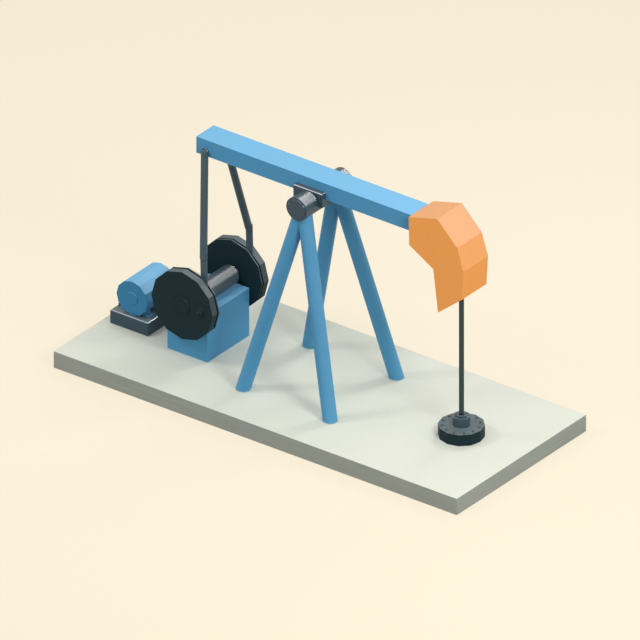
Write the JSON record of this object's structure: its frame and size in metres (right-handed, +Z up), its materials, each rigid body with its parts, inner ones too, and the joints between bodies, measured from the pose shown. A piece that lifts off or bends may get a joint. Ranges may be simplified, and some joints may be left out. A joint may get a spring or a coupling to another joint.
{
  "type": "pumpjack",
  "caption": "Beam pumping unit on a concrete pad: walking beam with horse head on an A-frame post, rocked by disc cranks and pitmans from a belt-driven gearbox, over a wellhead.",
  "frame": {"origin": "centre of the pad's underside", "axes": "+X along the pad towards the horse head and the well, +Y across the pad, +Z up"},
  "size_m": [9.07, 3.88, 4.862],
  "materials": {
    "concrete": "trowelled concrete",
    "blue_paint": "satin enamel",
    "orange_paint": "satin enamel",
    "dark_paint": "dark satin enamel",
    "cast_iron": "painted casting",
    "steel": "oiled steel",
    "rubber": "matt"
  },
  "bodies": {
    "root": {"concrete_pad": "concrete", "near_front_leg": "blue_paint", "near_rear_leg": "blue_paint", "far_front_leg": "blue_paint", "far_rear_leg": "blue_paint", "near_post_head": "dark_paint", "far_post_head": "dark_paint", "centre_shaft": "steel", "gearbox_case": "blue_paint", "crankshaft_housing": "dark_paint", "crankshaft_covers": "dark_paint", "gearbox_sheave": "cast_iron", "drive_belts": "rubber", "motor_pulley": "cast_iron", "motor_base": "dark_paint", "motor_frame": "blue_paint", "motor_end_bells": "blue_paint", "wellhead_flange": "cast_iron", "stuffing_box": "dark_paint"},
    "beam": {"walking_beam": "blue_paint", "beam_tail_plate": "blue_paint", "beam_saddle": "dark_paint", "centre_bearing_cap": "dark_paint", "tail_pin": "steel", "near_head_cheek": "orange_paint", "far_head_cheek": "orange_paint", "head_face_plate": "orange_paint", "head_rear_plate": "orange_paint", "rope_track": "steel", "wrapped_ropes": "steel"},
    "crank": {"crankshaft": "steel", "near_inner_web": "cast_iron", "near_outer_web": "cast_iron", "far_inner_web": "cast_iron", "far_outer_web": "cast_iron"},
    "near_pitman": {"near_pitman_rod": "dark_paint", "near_pitman_blade": "dark_paint", "near_wrist_pin": "steel"},
    "far_pitman": {"far_pitman_rod": "dark_paint", "far_pitman_blade": "dark_paint", "far_wrist_pin": "steel"},
    "rod": {"hanging_ropes": "steel", "rope_carrier": "steel", "polished_rod": "steel", "rod_string_end": "steel"}
  },
  "joints": [
    {"name": "beam_rock", "type": "hinge", "parent": "root", "child": "beam", "pos_m": [0, 0, 4.232], "axis": [0, 1, 0], "range_deg": [-9.3, 10]},
    {"name": "crank_turn", "type": "hinge", "parent": "root", "child": "crank", "pos_m": [-2.47, 0, 1.478], "axis": [0, 1, 0], "range_deg": [-94, 87.5]},
    {"name": "near_pitman_swing", "type": "hinge", "parent": "beam", "child": "near_pitman", "pos_m": [-2.37, -0.297, 4.439], "axis": [0, 1, 0], "range_deg": [-10.5, 10]},
    {"name": "far_pitman_swing", "type": "hinge", "parent": "beam", "child": "far_pitman", "pos_m": [-2.37, 0.297, 4.439], "axis": [0, 1, 0], "range_deg": [-10.5, 10]},
    {"name": "polished_rod_stroke", "type": "slide", "parent": "root", "child": "rod", "axis": [0, 0, 1], "range_m": [-0.57, 0.53]}
  ],
  "couplings": [
    {"joint": "crank_turn", "follows": "beam_rock", "ratio": -9.326},
    {"joint": "near_pitman_swing", "follows": "beam_rock", "ratio": -1},
    {"joint": "far_pitman_swing", "follows": "beam_rock", "ratio": -1},
    {"joint": "polished_rod_stroke", "follows": "beam_rock", "m_per_rad": -3.186}
  ]
}
